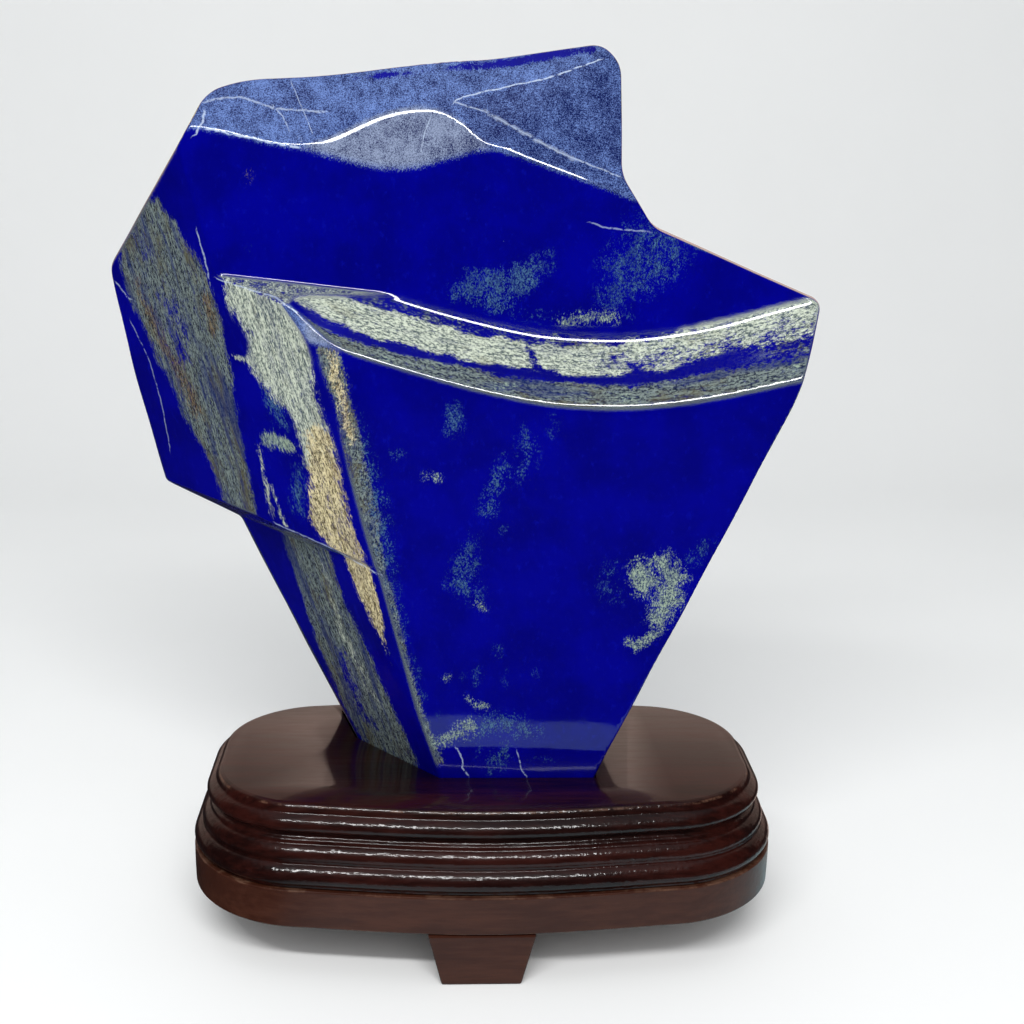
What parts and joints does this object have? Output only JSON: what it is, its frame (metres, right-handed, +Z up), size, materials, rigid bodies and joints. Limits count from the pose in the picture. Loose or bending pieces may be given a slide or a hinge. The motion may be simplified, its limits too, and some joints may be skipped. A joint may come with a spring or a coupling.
{
  "type": "stone on stand",
  "caption": "Polished freeform lapis lazuli standing upright in a moulded oblong stand of dark lacquered wood on short feet.",
  "frame": {"origin": "middle of the whole object's plan, at the height of the surface that it stands on", "axes": "+X to the right along the stand, +Y towards the back, +Z up"},
  "size_m": [0.3142, 0.139, 0.3857],
  "materials": {
    "lapis": "polished deep blue lapis lazuli with grey, cream and golden bands",
    "lacquered_wood": "dark reddish brown high gloss lacquer"
  },
  "bodies": {
    "root": {"lapis_stone": "lapis", "top_board": "lacquered_wood", "middle_board": "lacquered_wood", "apron_board": "lacquered_wood", "front_foot": "lacquered_wood", "back_left_foot": "lacquered_wood", "back_right_foot": "lacquered_wood"}
  },
  "joints": []
}
